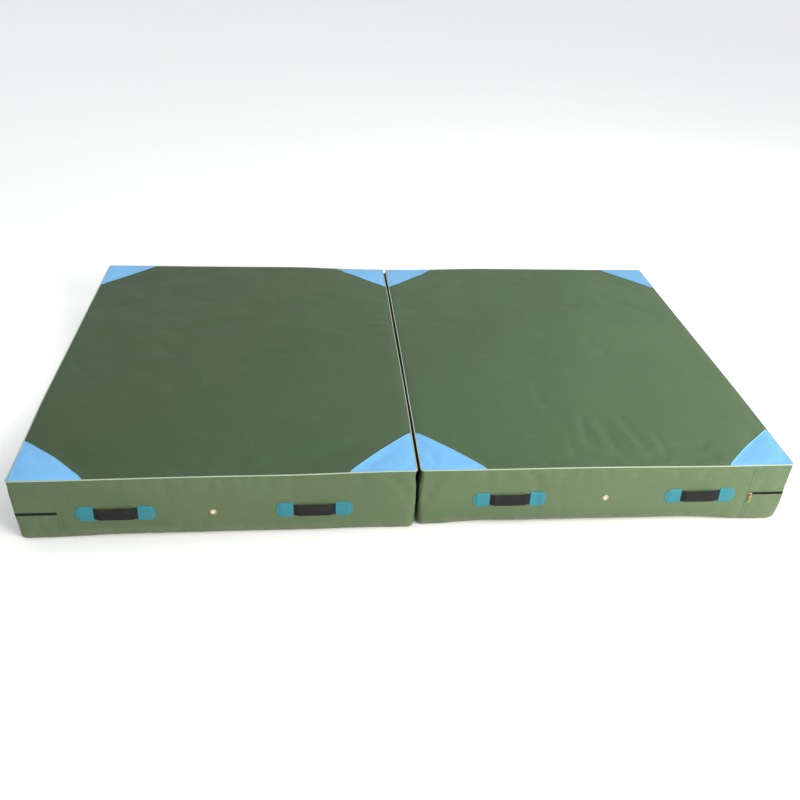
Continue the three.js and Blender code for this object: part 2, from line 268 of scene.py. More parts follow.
def foot_shift(points, block):
    """How far the foot lies in from its true line, along Y, near the fold's corners."""
    near_fold = 1 - smooth(0.03, 0.40, points[:, 0])
    near_corner = smooth(0.5, 1.0, np.abs(points[:, 1]))
    inwards = -np.sign(points[:, 1]) * FOOT_DRAW[block] * near_fold * near_corner
    return np.column_stack([np.zeros(len(points)), inwards])


# How round the edge at the floor is: at the fold's corners, midway and at the outer corners.
FOOT_ROUNDING = {"right": (0.023, 0.070, 0.032), "left": (0.020, 0.034, 0.015)}
FOLD_ROUNDING = 0.020  # the same all along the walls at the fold


def foot_radius(points, facing_fold, block, seed):
    """How round the edge at the floor is, column by column."""
    flat = np.column_stack([points, np.zeros(len(points))])
    at_fold, midway, at_end = FOOT_ROUNDING[block]
    from_fold = np.hypot(points[:, 0] - NEAR_X, HALF_Y - np.abs(points[:, 1]))
    from_end = np.hypot(points[:, 0] - FAR_X, HALF_Y - np.abs(points[:, 1]))
    corner = np.where(from_fold < from_end, at_fold, at_end)
    share = np.where(from_fold < from_end, smooth(0.03, 0.30, from_fold), smooth(0.07, 0.42, from_end))
    radius = corner + share * (midway - corner + 0.005 * ripple(flat, 1.9, seed + 21))
    return radius + facing_fold * (FOLD_ROUNDING - radius)


def wall_grid(block, seed, zip_z):
    """The walls' points, row by row from the top seam, with the directions outwards."""
    top, top_out, _ = outline(0, TOP_RADII)
    drift = edge_drift(top, block, seed)
    skew = np.column_stack([end_skew(top, block), np.zeros(COLUMNS)])
    facing_fold = np.clip(-top_out[:, 0], 0, 1)
    set_back = foot_shift(top, block)
    rounding = foot_radius(top, facing_fold, block, seed)
    upper = np.linspace(EDGE_Z, zip_z + ZIP_HALF_GAP, UPPER_ROWS + 1)
    rows, outs = [], []
    for z in upper:
        rows.append((np.full(COLUMNS, z), np.full(COLUMNS, EDGE_INSET if z == EDGE_Z else 0.0)))
    for t in np.arange(LOWER_ROWS) / LOWER_ROWS:
        low = zip_z - ZIP_HALF_GAP
        rows.append((low + t * (rounding - low), np.zeros(COLUMNS)))
    for angle in np.radians(90 * np.arange(FOOT_ROWS + 1) / FOOT_ROWS):
        z = FLOOR_GAP + rounding * (1 - math.sin(angle))
        rows.append((z, rounding * (1 - math.cos(angle))))
    points = []
    for z, inset in rows:
        foot_share = float(smooth(0.13, 0.03, z.mean()))
        radii = np.array(TOP_RADII) + foot_share * (np.array(FOOT_RADII) - TOP_RADII)
        fading = FOLD_DRAW_REST + (1 - FOLD_DRAW_REST) * smooth(EDGE_Z - 0.10, EDGE_Z - 0.03, z)
        draw = FOLD_DRAW * facing_fold * smooth(EDGE_Z, EDGE_Z - 0.02, z) * fading
        flat, out, _ = outline(inset + draw, radii)
        hold = smooth(TOP_HOLD, EDGE_Z, z)[:, None]
        shift = skew + drift[:, :2] * hold + set_back * smooth(*LEAN_BAND, z)[:, None]
        points.append(np.column_stack([flat + shift, z + drift[:, 2] * hold[:, 0]]))
        outs.append(np.column_stack([out, np.zeros(COLUMNS)]))
    return np.array(points), np.array(outs)


ROWS = UPPER_ROWS + 1 + LOWER_ROWS + FOOT_ROWS + 1
UPPER_END = UPPER_ROWS  # the row along the zip's upper edge
LOWER_START = UPPER_ROWS + 1  # the row along its lower edge


def panel_grid(block, seed):
    """The landing face's points: a grid whose square corners are drawn in to round ones."""
    low_x, high_x, half = NEAR_X + EDGE_INSET, FAR_X - EDGE_INSET, HALF_Y - EDGE_INSET
    columns = round((high_x - low_x) / PANEL_STEP) + 1
    rows = round(2 * half / PANEL_STEP) + 1
    x, y = np.meshgrid(np.linspace(low_x, high_x, columns), np.linspace(-half, half, rows))
    for radius, edge, sign in ((TOP_RADII[0], low_x, -1), (TOP_RADII[1], high_x, 1)):
        radius = radius - EDGE_INSET
        u = np.clip(sign * (x - edge) + radius, 0, radius)
        v = np.clip(np.abs(y) - half + radius, 0, radius)
        length = np.hypot(u, v)
        scale = np.where(length > 0, np.maximum(u, v) / np.where(length > 0, length, 1), 1)
        x = x - sign * u * (1 - scale)
        y = y - np.sign(y) * v * (1 - scale)
    flat = np.column_stack([x.ravel(), y.ravel()])
    edge_distance = np.minimum.reduce([flat[:, 0] - low_x, high_x - flat[:, 0], half - np.abs(flat[:, 1])])
    drift = edge_drift(flat, block, seed)
    settle = 1 - 0.8 * smooth(0.0, 0.35, edge_distance)
    z = EDGE_Z + 0.0012 * smooth(0, 0.03, edge_distance) + drift[:, 2] * settle
    points = np.column_stack([flat[:, 0] + drift[:, 0] + end_skew(flat, block), flat[:, 1] + drift[:, 1], z])
    return points, rows, columns


# ---------------------------------------------------------------- cloth
CLOTH_FRAMES = 20


def simulated(points, faces, held, growth, pressure):
    """Where the points go when the cloth is cut a little too large for its frame and puffed out: the
    held points stay, and the rest buckles into soft creases square to the seams."""
    form = make_piece("cloth_form", points, faces)
    group = form.vertex_groups.new(name="held")
    group.add([int(i) for i in held], 1.0, "REPLACE")
    settings = form.modifiers.new("cloth", "CLOTH").settings
    settings.vertex_group_mass = "held"
    settings.quality = 4
    settings.mass = 0.2
    settings.air_damping = 2.0
    settings.tension_stiffness = settings.compression_stiffness = settings.shear_stiffness = 25
    settings.bending_stiffness = 0.6
    settings.shrink_min = -growth
    settings.use_pressure = True
    settings.uniform_pressure_force = pressure
    settings.effector_weights.gravity = 0
    for number in range(1, CLOTH_FRAMES + 1):
        bpy.context.scene.frame_set(number)
    moved = coordinates(evaluated(form).data)
    bpy.data.objects.remove(form)
    bpy.context.scene.frame_set(1)
    return moved


def limited(shift, inwards, outwards):
    """shift, eased so that it never passes either limit."""
    limit = np.where(shift < 0, inwards, outwards)
    return limit * np.tanh(shift / limit)


def puffed(points, outs, faces, held, seed, growth, pressure, limits):
    """The points after the simulation, moved only along outs and within the limits (in, out)."""
    start = points + outs * (0.0006 * ripple(points, 14, seed))[:, None]
    start[held] = points[held]
    shift = ((simulated(start, faces, held, growth, pressure) - points) * outs).sum(1)
    return points + outs * limited(shift, *limits)[:, None]


def make_walls(block, seed, zip_z):
    """The walls' points after the simulation, as rows by columns, and before it, with their directions
    outwards."""
    points, outs = wall_grid(block, seed, zip_z)
    index = np.arange(ROWS * COLUMNS).reshape(ROWS, COLUMNS)
    held = np.zeros((ROWS, COLUMNS), bool)
    held[0] = held[-1] = held[-2] = True
    held[UPPER_END:LOWER_START + 1, SEAM_COLUMNS[1]:] = True
    held[UPPER_END:LOWER_START + 1, :1] = True
    tight = np.where(points[0, :, 0] < NEAR_X + TOP_RADII[0], 0.0022, 0.0045)
    out_limit = np.tile(tight, ROWS)
    faces = grid_faces(ROWS, COLUMNS, closed_columns=True)
    moved = puffed(
        points.reshape(-1, 3), outs.reshape(-1, 3), faces, index[held], seed,
        growth=0.012, pressure=0.35, limits=(0.0015, out_limit),
    )
    return moved.reshape(ROWS, COLUMNS, 3), points, outs


# The longest creases in the landing faces, where they lie on the mat: middle x and y, heading in degrees,
# length, width and height.
CREASES = {
    "right": (
        (0.62, -0.86, 82, 0.20, 0.020, 0.0013),
        (0.70, -0.74, 86, 0.34, 0.024, 0.0020),
        (0.79, -0.80, 96, 0.36, 0.026, 0.0026),
        (0.90, -0.76, 100, 0.40, 0.026, 0.0025),
        (1.00, -0.85, 93, 0.24, 0.022, 0.0018),
    ),
    "left": (
        (-0.09, 0.16, 3, 0.17, 0.016, 0.0018),
        (-0.11, 0.25, -4, 0.22, 0.018, 0.0024),
        (-0.08, 0.33, 5, 0.15, 0.016, 0.0020),
        (-0.12, 0.41, -2, 0.23, 0.018, 0.0023),
        (-0.09, 0.51, -6, 0.16, 0.017, 0.0017),
    ),
}


def crease_lift(points, block):
    """How far the creases lift each point, a crest beside a valley all along each."""
    lift = np.zeros(len(points))
    for x, y, heading, length, width, height in CREASES[block]:
        turn = math.radians(heading)
        offset = points[:, :2] * BLOCKS[block] - (x, y)
        along = np.abs(offset @ (math.cos(turn), math.sin(turn))) / (length / 2)
        across = (offset @ (-math.sin(turn), math.cos(turn))) / width
        lift += 2.33 * height * across * np.exp(-across ** 2) * smooth(1, 0.3, along)
    return lift


def make_panel(block, seed):
    points, rows, columns = panel_grid(block, seed)
    index = np.arange(rows * columns).reshape(rows, columns)
    held = np.ones((rows, columns), bool)
    held[1:-1, 1:-1] = False
    outs = np.tile([0.0, 0.0, 1.0], (len(points), 1))
    faces = grid_faces(rows, columns)
    moved = puffed(
        points, outs, faces, index[held], seed + 31,
        growth=0.007, pressure=0.08, limits=(0.0016, 0.0022),
    )
    moved[~held.ravel(), 2] += crease_lift(moved, block)[~held.ravel()]
    return moved.reshape(rows, columns, 3)


# ---------------------------------------------------------------- camera, light and floor
def add_camera():
    """The photograph's view: from above the front, a little left of the middle and turned right."""
    yaw, pitch, roll = (math.radians(a) for a in (7.970, -32.675, 3.546))
    forward = Vector((math.sin(yaw) * math.cos(pitch), math.cos(yaw) * math.cos(pitch), math.sin(pitch)))
    level = Vector((math.cos(yaw), -math.sin(yaw), 0))
    up = level.cross(forward)
    right = level * math.cos(roll) + up * math.sin(roll)
    above = up * math.cos(roll) - level * math.sin(roll)
    data = bpy.data.cameras.new("camera")
    data.sensor_width = 36
    data.lens = 40.80
    data.shift_x = -0.03125
    data.shift_y = 0.05
    camera = make_object("camera", data)
    place = Matrix((right, above, -forward)).transposed().to_4x4()
    place.translation = (-0.3825, -3.8374, 2.2658)
    camera.matrix_world = place
    bpy.context.scene.camera = camera


def add_area_light(name, location, target, size, power, colour, spread=180):
    data = bpy.data.lights.new(name, "AREA")
    data.shape = "DISK"
    data.size = size
    data.energy = power
    data.color = colour
    data.spread = math.radians(spread)
    lamp = make_object(name, data)
    lamp.location = location
    lamp.rotation_euler = (Vector(target) - Vector(location)).to_track_quat("-Z", "Y").to_euler()


def add_stage():
    bpy.context.scene.view_settings.view_transform = "Standard"
    world = bpy.data.worlds.new("studio")
    world.use_nodes = True
    sky = world.node_tree.nodes["Background"]
    sky.inputs["Color"].default_value = (0.98, 0.99, 1, 1)
    sky.inputs["Strength"].default_value = 0.87
    bpy.context.scene.world = world
    add_area_light("key", (4.5, -5.0, 2.8), (0.4, -0.4, 0.1), 4.5, 640, (1, 0.98, 0.94))
    add_area_light("side", (4.6, 0.2, 3.2), (0.6, -0.3, 0.3), 2.0, 110, (1, 0.99, 0.96))
    add_area_light("floor_fill", (-3.7, 0.3, 2.0), (-3.2, 0.3, 0), 1.2, 45, (1, 1, 1), spread=60)
    reach = 30
    corners = [(-reach, -reach, 0), (reach, -reach, 0), (reach, reach, 0), (-reach, reach, 0)]
    floor = make_piece("floor", corners, [(0, 1, 2, 3)])
    surface, tree, shader = new_material("floor_paint")
    mottle = add_node(tree, "ShaderNodeTexNoise", {"Vector": object_coordinates(tree), "Scale": 0.6})
    tint = ranged(tree, mottle.outputs["Fac"], 0, 1, 0.93, 0.96)
    set_inputs(tree, shader, {"Base Color": tint, "Roughness": 0.9})
    floor.data.materials.append(surface)


# ---------------------------------------------------------------- materials
def new_material(name):
    material = bpy.data.materials.new(name)
    material.use_nodes = True
    return material, material.node_tree, material.node_tree.nodes["Principled BSDF"]


def set_inputs(tree, node, inputs):
    """Sets each of a node's inputs to a value or links it to another node's output socket."""
    for key, value in inputs.items():
        if isinstance(value, bpy.types.NodeSocket):
            tree.links.new(value, node.inputs[key])
        else:
            node.inputs[key].default_value = value


def add_node(tree, kind, inputs=None, **settings):
    node = tree.nodes.new(kind)
    for key, value in settings.items():
        setattr(node, key, value)
    set_inputs(tree, node, inputs or {})
    return node


def object_coordinates(tree):
    return add_node(tree, "ShaderNodeTexCoord").outputs["Object"]


def axes(tree, vector):
    return add_node(tree, "ShaderNodeSeparateXYZ", {"Vector": vector}).outputs


def calculate(tree, operation, *values):
    return add_node(tree, "ShaderNodeMath", dict(enumerate(values)), operation=operation).outputs["Value"]


def wave(tree, place, period):
    return calculate(tree, "SINE", calculate(tree, "MULTIPLY", place, 2 * math.pi / period))


def bumped(tree, height, strength, distance):
    """The normals of a surface whose relief is height times distance."""
    inputs = {"Strength": strength, "Distance": distance, "Height": height}
    return add_node(tree, "ShaderNodeBump", inputs).outputs["Normal"]


def mix_colour(tree, share, first, second, blend="MIX"):
    inputs = {0: share, 6: first, 7: second}
    return add_node(tree, "ShaderNodeMix", inputs, data_type="RGBA", blend_type=blend).outputs[2]


def noise_value(tree, vector, scale, detail=3.0, rough=0.55):
    inputs = {"Vector": vector, "Scale": scale, "Detail": detail, "Roughness": rough}
    return add_node(tree, "ShaderNodeTexNoise", inputs).outputs["Fac"]


def ranged(tree, value, low, high, to_low, to_high):
    inputs = {"Value": value, "From Min": low, "From Max": high, "To Min": to_low, "To Max": to_high}
    return add_node(tree, "ShaderNodeMapRange", inputs).outputs["Result"]


def surface_plane(tree):
    """The two coordinates that lie in the surface, for panels that face along X, Y or Z."""
    source = add_node(tree, "ShaderNodeTexCoord").outputs
    x, y, z = axes(tree, source["Object"])
    facing = axes(tree, source["Normal"])
    faces_x, faces_z = (
        calculate(tree, "GREATER_THAN", calculate(tree, "ABSOLUTE", facing[a]), 0.7) for a in "XZ"
    )
    along = add_node(tree, "ShaderNodeMix", {0: faces_x, 2: x, 3: y}).outputs[0]
    across = add_node(tree, "ShaderNodeMix", {0: faces_z, 2: z, 3: y}).outputs[0]
    return along, across


def plain_weave(tree, pitch):
    """Height from -1 to 1 of a plain weave whose threads are pitch apart."""
    return calculate(tree, "MULTIPLY", *[wave(tree, place, 2 * pitch) for place in surface_plane(tree)])


def scaled(colour, factor):
    return tuple(c * factor for c in colour) + (1,)


def coated_cloth(name, colour, roughness=0.55, weave=0.25, sheen=0.02, scuffs=0.4, dust=0.0, painted_light_slope=0.0):
    """Woven cloth under a thin matt coating: uneven tone, threads, hairline crazing and pale scuffs. The last
    argument is painted light: it says how much paler the cloth is painted towards +X than midway (darker when
    below zero), standing in for lamps that light one side of the mat more than the other."""
    material, tree, shader = new_material(name)
    place = object_coordinates(tree)
    threads = plain_weave(tree, THREAD_PITCH)
    broad = noise_value(tree, place, 1.7, 4)
    fine = noise_value(tree, place, 46, 5)
    tone = mix_colour(tree, ranged(tree, broad, 0.3, 0.7, 0, 1), scaled(colour, 0.9), scaled(colour, 1.1))
    tone = mix_colour(tree, ranged(tree, fine, 0.3, 0.7, 0.0, 0.5), tone, scaled(colour, 0.86))
    tone = mix_colour(tree, ranged(tree, threads, -1, 1, 0, 0.22), tone, scaled(colour, 0.72))
    drawn_out = {"Vector": place, "Scale": (9, 4, 30), "Rotation": (0.3, 0.2, 0.6)}
    stretch = add_node(tree, "ShaderNodeMapping", drawn_out)
    rub = noise_value(tree, stretch.outputs["Vector"], 1.0, 6, 0.7)
    rubbed = ranged(tree, rub, 0.62, 0.78, 0, scuffs)
    pale = tuple(min(1, c * 1.25 + 0.03) for c in colour) + (1,)
    tone = mix_colour(tree, rubbed, tone, pale)
    # painted light: the tone is scaled across X, paler towards +X when the slope is above zero and darker
    # when it is below, standing in for uneven lighting across the mat
    if painted_light_slope:
        share = ranged(tree, axes(tree, place)["X"], -1.3, 1.3, 0, 1)
        factor = mix_colour(tree, share, scaled((1, 1, 1), 1 - painted_light_slope), scaled((1, 1, 1), 1 + painted_light_slope))
        tone = mix_colour(tree, 1.0, tone, factor, "MULTIPLY")
    if dust:
        low = ranged(tree, axes(tree, place)["Z"], 0.0, 0.06, dust, 0)
        patches = ranged(tree, noise_value(tree, place, 9, 4), 0.35, 0.65, 0.2, 1)
        patchy = calculate(tree, "MULTIPLY", low, patches)
        tone = mix_colour(tree, patchy, tone, (0.24, 0.21, 0.16, 1))
    crazing = noise_value(tree, place, 260, 3, 0.6)
    relief = calculate(tree, "ADD", calculate(tree, "MULTIPLY", threads, weave), crazing)
    matt = ranged(tree, noise_value(tree, place, 7, 5), 0.3, 0.7, roughness - 0.05, roughness + 0.1)
    set_inputs(tree, shader, {
        "Base Color": tone,
        "Roughness": matt,
        "Sheen Weight": sheen,
        "Sheen Roughness": 0.4,
        "Specular IOR Level": 0.22,
        "Normal": bumped(tree, relief, 0.5, 0.0004),
    })
    return material


def plain_finish(
    name, colour, roughness, metallic=0.0, grain=120, relief=0.0001, spread=0.12, gloss=0.5, stretch=(1, 1, 1)
):
    """Plastic, metal or thread: uneven tone and gloss with a fine grain, which stretch can draw out."""
    material, tree, shader = new_material(name)
    place = add_node(tree, "ShaderNodeMapping", {"Vector": object_coordinates(tree), "Scale": stretch})
    broad = noise_value(tree, place.outputs["Vector"], grain / 12, 3)
    fine = noise_value(tree, place.outputs["Vector"], grain, 4)
    set_inputs(tree, shader, {
        "Base Color": mix_colour(tree, broad, scaled(colour, 1 - spread), scaled(colour, 1 + spread)),
        "Roughness": ranged(tree, fine, 0.3, 0.7, roughness - 0.06, roughness + 0.08),
        "Metallic": metallic,
        "Specular IOR Level": gloss,
        "Normal": bumped(tree, fine, 0.6, relief),
    })
    return material


def foam_finish(name, colour):
    """Open-cell foam: a matt sponge of small pits, painted darker in the pits as painted shade, with a cloudy
    tone.
    """
    material, tree, shader = new_material(name)
    place = object_coordinates(tree)
    cells = add_node(tree, "ShaderNodeTexVoronoi", {"Vector": place, "Scale": 900}).outputs["Distance"]
    pits = add_node(tree, "ShaderNodeTexVoronoi", {"Vector": place, "Scale": 260}).outputs["Distance"]
    shade = ranged(tree, calculate(tree, "ADD", cells, pits), 0.2, 1.1, 0, 1)
    # painted shade: the tone is darker where the pits are deepest
    tone = mix_colour(tree, shade, scaled(colour, 0.72), scaled(colour, 1.06))
    cloud = ranged(tree, noise_value(tree, place, 5), 0.3, 0.7, 0, 0.4)
    tone = mix_colour(tree, cloud, tone, scaled(colour, 0.86))
    normal = bumped(tree, shade, 0.8, 0.0006)
    set_inputs(tree, shader, {"Base Color": tone, "Roughness": 0.95, "Normal": normal})
    return material


def webbing_finish(name, colour):
    """Heavy webbing: ribs along its length crossed by the finer beat of the weft, painted lighter on the
    ribs' crests and darker in the hollows between them as painted highlight and shade.
    """
    material, tree, shader = new_material(name)
    place = object_coordinates(tree)
    rib = wave(tree, axes(tree, place)["Z"], RIB_PITCH)
    beat = wave(tree, axes(tree, place)["X"], WEFT_PITCH)
    crossed = calculate(tree, "MULTIPLY", beat, calculate(tree, "MULTIPLY", rib, 0.8))
    weave = calculate(tree, "ADD", rib, crossed)
    fuzz = noise_value(tree, place, 500, 4, 0.7)
    # painted highlight and shade: the tone follows the relief, lighter on the ribs and darker between them
    tone = mix_colour(tree, ranged(tree, weave, -1.6, 1.6, 0, 1), scaled(colour, 0.55), scaled(colour, 1.5))
    worn = ranged(tree, noise_value(tree, place, 30, 5), 0.5, 0.8, 0, 0.5)
    tone = mix_colour(tree, calculate(tree, "MULTIPLY", worn, fuzz), tone, (0.045, 0.043, 0.042, 1))
    height = calculate(tree, "ADD", weave, calculate(tree, "MULTIPLY", fuzz, 0.6))
    set_inputs(tree, shader, {
        "Base Color": tone,
        "Roughness": 0.85,
        "Specular IOR Level": 0.25,
        "Normal": bumped(tree, height, 0.8, 0.0004),
    })
    return material


THREAD_PITCH = 0.0009  # of the woven canvas
RIB_PITCH, WEFT_PITCH = 0.0026, 0.0017  # of the webbing
# The next two greens are one canvas. The top's darker green is painted shade and the walls' lighter green is
# painted light, standing in for lamps that light the walls more than the landing face.
TOP_GREEN_SHADED = (0.052, 0.091, 0.040)
SIDE_GREEN_LIT = (0.082, 0.121, 0.059)
PATCH_BLUE = (0.143, 0.387, 0.67)
PATCH_TEAL = (0.024, 0.165, 0.20)
THREAD_GREEN = (0.078, 0.115, 0.057)
MATERIALS = {
    # painted light: the top canvas, and less so the walls, are painted paler towards +X, and the blue patches
    # are painted darker there
    "cover_top": coated_cloth("top_canvas", TOP_GREEN_SHADED, painted_light_slope=0.20),
    "cover_side": coated_cloth("side_canvas", SIDE_GREEN_LIT, dust=0.4, painted_light_slope=0.07),
    # the base's green is 0.74 of the top's green, painted shade included
    "cover_base": coated_cloth("base_canvas", scaled(TOP_GREEN_SHADED, 0.74)[:3], roughness=0.68, scuffs=0.15),
    "corner_patch": coated_cloth(
        "blue_patch", PATCH_BLUE, roughness=0.42, weave=0.2, scuffs=0.3, painted_light_slope=-0.12
    ),
    "handle_patch": coated_cloth("teal_patch", PATCH_TEAL, roughness=0.45, weave=0.2, scuffs=0.3),
    "webbing": webbing_finish("black_webbing", (0.010, 0.0095, 0.010)),
    "piping": plain_finish("piping_vinyl", (0.29, 0.35, 0.26), 0.45, grain=60, relief=0.0003),
    "zip_black": plain_finish(
        "zip_tape", (0.006, 0.007, 0.005), 0.7, grain=700, relief=0.0003, spread=0.3, gloss=0.2
    ),
    "zip_brass": plain_finish("brass", (0.48, 0.30, 0.14), 0.36, metallic=1.0, grain=300, stretch=(1, 1, 8)),
    "eyelet": plain_finish("eyelet_metal", (0.40, 0.30, 0.21), 0.45, metallic=0.6, grain=300),
    "hinge_fabric": coated_cloth(
        "hinge_canvas", (0.010, 0.011, 0.012), roughness=0.6, sheen=0.03, scuffs=0.2
    ),
    "core_foam": foam_finish("core_sponge", (0.72, 0.64, 0.4)),
    "top_foam": foam_finish("top_sponge", (0.55, 0.5, 0.36)),
}
HEM_BLUE = coated_cloth("hem_cloth", (0.17, 0.43, 0.71), roughness=0.5, scuffs=0.2)
GREEN_THREAD = plain_finish("green_thread", THREAD_GREEN, 0.7, grain=1500, relief=0.0002, spread=0.25)
BLUE_THREAD = plain_finish("blue_thread", (0.13, 0.36, 0.68), 0.7, grain=1500, relief=0.0002, spread=0.2)
TEAL_THREAD = plain_finish("teal_thread", (0.05, 0.26, 0.33), 0.7, grain=1500, relief=0.0002, spread=0.2)


# ---------------------------------------------------------------- placing pieces
def finish_piece(obj, block, slot, *nodes, body=None, surface=None):
    """Gives a piece made in the right block's place its place, its body and a material, which is the slot's
    unless surface is given, and hides the CAD nodes it stands for.
    """
    if BLOCKS[block] < 0:
        obj.data.transform(Matrix.Rotation(math.pi, 4, "Z"))
    obj.data.materials.clear()
    obj.data.materials.append(surface or MATERIALS[slot])
    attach(obj, body or f"{block}_block")
    if nodes:
        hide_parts(*(f"{block}_{n}" for n in nodes))
    return obj


def tree_of(obj):
    """obj's outer surface, modifiers included, to cast rays at and find nearest points on."""
    return BVHTree.FromObject(obj, bpy.context.evaluated_depsgraph_get())


def on_panel(tree, x, y):
    """The landing face's height at (x, y), or at its nearest point."""
    hit = tree.ray_cast(Vector((x, y, 1)), Vector((0, 0, -1)))[0]
    return (hit or tree.find_nearest(Vector((x, y, EDGE_Z)))[0]).z


def on_wall(tree, side, x, z):
    """Where a long wall's outer face is, straight in along Y from (x, z)."""
    return tree.ray_cast(Vector((x, side * 2, z)), Vector((0, -side, 0)))[0].y


def wall_points(tree, side, centre, across, up, rise):
    """A grid of points on a long wall: across and up from centre, which is an (x, z), and rise off its
    face. Seen from outside, across runs to the right."""
    points = []
    for u, w, d in zip(across.ravel(), up.ravel(), rise.ravel()):
        x, z = centre[0] - side * u, centre[1] + w
        points.append((x, on_wall(tree, side, x, z) + side * d, z))
    return np.array(points).reshape(*across.shape, 3)


# ---------------------------------------------------------------- wires, rings and stitches
def unit(vectors):
    return vectors / np.linalg.norm(vectors, axis=-1, keepdims=True)


def distances(path):
    """How far along a path each of its points is."""
    return np.concatenate([[0], np.cumsum(np.linalg.norm(np.diff(path, axis=0), axis=1))])


def points_at(path, at):
    """Where a path is at the given distances along it."""
    lengths = distances(path)
    return np.stack([np.interp(at, lengths, line) for line in np.transpose(path)], -1)


def resampled(path, count):
    return points_at(path, np.linspace(0, distances(path)[-1], count))


def along_path(path, pitch, closed=False):
    """Points every pitch along a path, from half a pitch in, with the path's directions there."""
    path = np.vstack([path, path[:1]]) if closed else path
    at = np.arange(pitch / 2, distances(path)[-1] - pitch / 4, pitch)
    return points_at(path, at), unit(points_at(path, at + 0.0005) - points_at(path, at - 0.0005))


def sweep(path, sideways, rise, radius, sides):
    """Rings of points round a path, a row for each of its points. Each ring's half-axes are sideways and
    a rise along Z, times radius."""
    angles = 2 * math.pi * np.arange(sides)[:, None] / sides
    ring = np.cos(angles) * sideways[:, None, :] + np.sin(angles) * (0, 0, rise)
    return path[:, None, :] + radius * ring


def solid_piece(name, parts):
    """Several (points, faces) as one object."""
    faces, start = [], 0
    for points, part_faces in parts:
        faces.extend([[int(i) + start for i in face] for face in part_faces])
        start += len(points)
    return make_piece(name, np.concatenate([points for points, _ in parts]), faces)


def wire(points, radius, closed=False):
    """A round wire along a smooth curve through the points."""
    curve = bpy.data.curves.new("wire", "CURVE")
    curve.dimensions = "3D"
    curve.bevel_depth = radius
    curve.bevel_resolution = 3
    curve.resolution_u = 6
    curve.use_fill_caps = True
    spline = curve.splines.new("BEZIER")
    spline.bezier_points.add(len(points) - 1)
    for knot, point in zip(spline.bezier_points, points):
        knot.co = point
        knot.handle_left_type = knot.handle_right_type = "AUTO"
    spline.use_cyclic_u = closed
    holder = make_object("wire", curve)
    mesh = bpy.data.meshes.new_from_object(evaluated(holder))
    bpy.data.objects.remove(holder)
    return coordinates(mesh), [list(face.vertices) for face in mesh.polygons]


# One stitch: its points along, across and above the thread's middle, and its faces.
STITCH = np.array([
    (1, 0, -0.6), (0.45, 1, 0), (0.45, -1, 0), (-0.45, 1, 0),
    (-0.45, -1, 0), (-1, 0, -0.6), (0.4, 0, 1), (-0.4, 0, 1),
])
STITCH_FACES = [(0, 1, 6), (0, 6, 2), (1, 3, 7, 6), (2, 6, 7, 4), (3, 5, 7), (4, 7, 5)]


def stitches(name, tree, paths, pitch=0.0052, length=0.0040, width=0.0009):
    """Thread lying on a surface along each path: (points, closed)."""
    size = np.array((length / 2, width / 2, width / 2))
    parts = []
    for path, closed in paths:
        places, directions = along_path(path, pitch, closed)
        for place, direction in zip(places, directions):
            spot, normal, _, _ = tree.find_nearest(Vector(place))
            along = Vector(direction)
            along = (along - along.dot(normal) * normal).normalized()
            frame_axes = np.array((along, normal.cross(along), normal))
            parts.append((np.array(spot) + (STITCH * size) @ frame_axes, STITCH_FACES))
    return solid_piece(name, parts)


# ---------------------------------------------------------------- cover
def split_walls(block, walls):
    """The side band and the upper and lower end walls, cut from the one grid at the seams and the zip."""
    faces = grid_faces(ROWS, COLUMNS, closed_columns=True)
    column_of, row_of = faces[:, 0] % COLUMNS, faces[:, 0] // COLUMNS
    end = column_of >= SEAM_COLUMNS[1]
    shares = {
        "side_band": ~end,
        "end_wall_upper": end & (row_of < UPPER_END),
        "end_wall_lower": end & (row_of >= LOWER_START),
    }
    pieces = {}
    for node, chosen in shares.items():
        used, kept = np.unique(faces[chosen], return_inverse=True)
        piece = make_piece(f"{block}_{node}_cloth", walls.reshape(-1, 3)[used], kept.reshape(-1, 4))
        refine(piece)
        thicken(piece)
        pieces[node] = piece
    return pieces


def build_walls(block, seed):
    """Returns the walls' grid after and before the simulation, and their surface."""
    zip_z = middle(block, "zipper_chain").z
    walls, form, outs = make_walls(block, seed, zip_z)
    whole = grid_piece(f"{block}_walls_form", walls, closed_columns=True)
    refine(whole)
    tree = tree_of(whole)
    bpy.data.objects.remove(whole)
    pieces = split_walls(block, walls)
    for node, piece in pieces.items():
        finish_piece(piece, block, "cover_side", node)
    return walls, form, outs, tree


def build_panel(block, seed):
    """The landing face. Returns its grid and its surface."""
    grid = make_panel(block, seed)
    panel = grid_piece(f"{block}_top_panel_cloth", grid)
    refine(panel)
    tree = tree_of(panel)
    thicken(panel)
    finish_piece(panel, block, "cover_top", "top_panel")
    return grid, tree


BASE_STEPS = (61, 81)  # points across and along the base panel


def filled(loop, steps):
    """An even grid inside a closed loop that runs clockwise seen from above, split at its four corners."""
    corners = [(NEAR_X, -HALF_Y), (NEAR_X, HALF_Y), (FAR_X, HALF_Y), (FAR_X, -HALF_Y)]
    at = [int(np.argmin(np.linalg.norm(loop[:, :2] - corner, axis=1))) for corner in corners]
    sides = []
    for first, last, count in zip(at, at[1:] + at[:1], (steps[1], steps[0], steps[1], steps[0])):
        run = loop[first:last + 1] if first < last else np.vstack([loop[first:], loop[:last + 1]])
        sides.append(resampled(run, count))
    near, back, far, front = sides[0], sides[1], sides[2][::-1], sides[3][::-1]
    u = np.linspace(0, 1, steps[0])[None, :, None]
    v = np.linspace(0, 1, steps[1])[:, None, None]
    along = (1 - v) * front[None] + v * back[None]
    across = (1 - u) * near[:, None] + u * far[:, None]
    low = (1 - u) * front[0] + u * front[-1]
    high = (1 - u) * back[0] + u * back[-1]
    return along + across - ((1 - v) * low + v * high)


